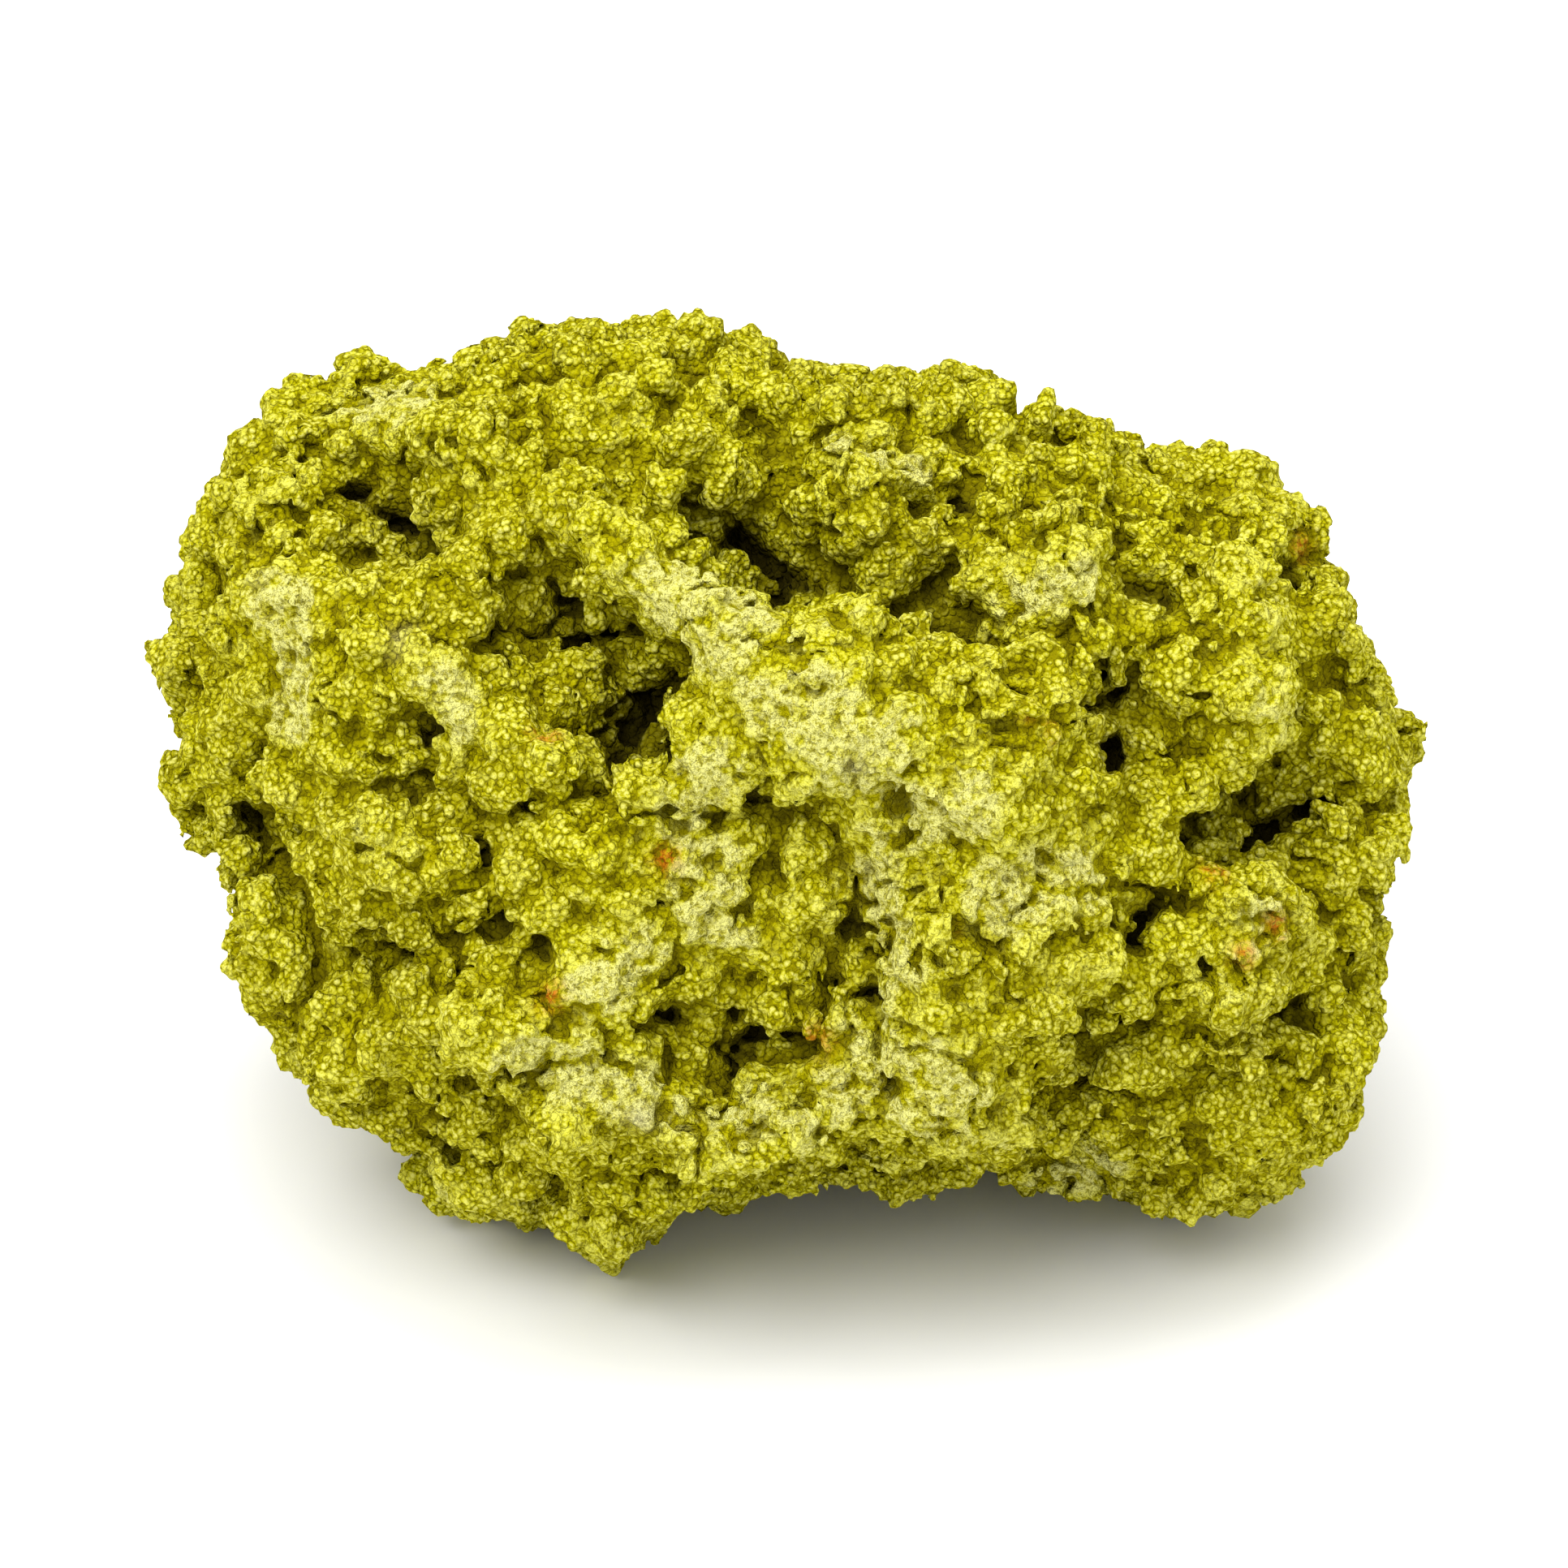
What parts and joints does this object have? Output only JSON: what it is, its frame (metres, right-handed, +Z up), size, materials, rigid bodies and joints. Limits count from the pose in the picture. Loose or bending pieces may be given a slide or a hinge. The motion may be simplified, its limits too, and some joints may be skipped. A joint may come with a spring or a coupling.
{
  "type": "nontronite specimen",
  "caption": "Cabinet-size lump of yellow-green nontronite with a granular, botryoidal surface of bosses, ledges and pits, standing on worn feet.",
  "frame": {"origin": "on the resting surface, below the middle of the mass's bounding box", "axes": "+X runs to the right across the show face along the longest extent, +Z is up, and the show face looks to -Y and up"},
  "size_m": [0.103, 0.088, 0.0738],
  "materials": {
    "nontronite": "dull, earthy and powdery"
  },
  "bodies": {
    "root": {"nontronite_mass": "nontronite"}
  },
  "joints": []
}
